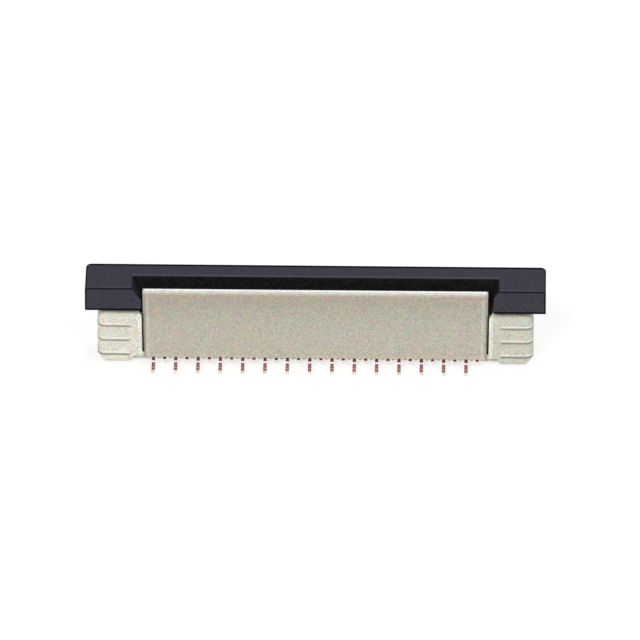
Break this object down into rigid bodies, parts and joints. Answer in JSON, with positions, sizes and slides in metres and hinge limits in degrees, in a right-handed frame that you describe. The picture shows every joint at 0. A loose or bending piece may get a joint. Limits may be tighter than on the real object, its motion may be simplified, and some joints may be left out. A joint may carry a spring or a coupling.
{
  "type": "fpc connector",
  "caption": "Upright surface-mount connector for a flat flexible circuit: ivory housing with grip-ridged ends, black lift-up slider, fork contacts with solder tails on both sides.",
  "frame": {"origin": "on the circuit board's surface, in the middle of the footprint", "axes": "+X along the row of contacts, -Y the side of the slot wall, +Z away from the circuit board"},
  "size_m": [0.0412, 0.0076, 0.008],
  "materials": {
    "housing": "fine matt ivory moulding",
    "slider": "fine matt black moulding",
    "contact": "tin over copper alloy, warm cut edges",
    "nail": "bright tin plate"
  },
  "bodies": {
    "housing": {"housing": "housing", "contact_01": "contact", "contact_02": "contact", "contact_03": "contact", "contact_04": "contact", "contact_05": "contact", "contact_06": "contact", "contact_07": "contact", "contact_08": "contact", "contact_09": "contact", "contact_10": "contact", "contact_11": "contact", "contact_12": "contact", "contact_13": "contact", "contact_14": "contact", "contact_15": "contact", "contact_16": "contact", "contact_17": "contact", "contact_18": "contact", "contact_19": "contact", "contact_20": "contact", "contact_21": "contact", "contact_22": "contact", "contact_23": "contact", "contact_24": "contact", "contact_25": "contact", "contact_26": "contact", "contact_27": "contact", "contact_28": "contact", "contact_29": "contact", "contact_30": "contact", "nail_left": "nail", "nail_right": "nail"},
    "slider": {"slider": "slider"}
  },
  "joints": [
    {"name": "slider_lift", "type": "slide", "parent": "housing", "child": "slider", "axis": [0, 0, 1], "range_m": [0, 0.001]}
  ]
}
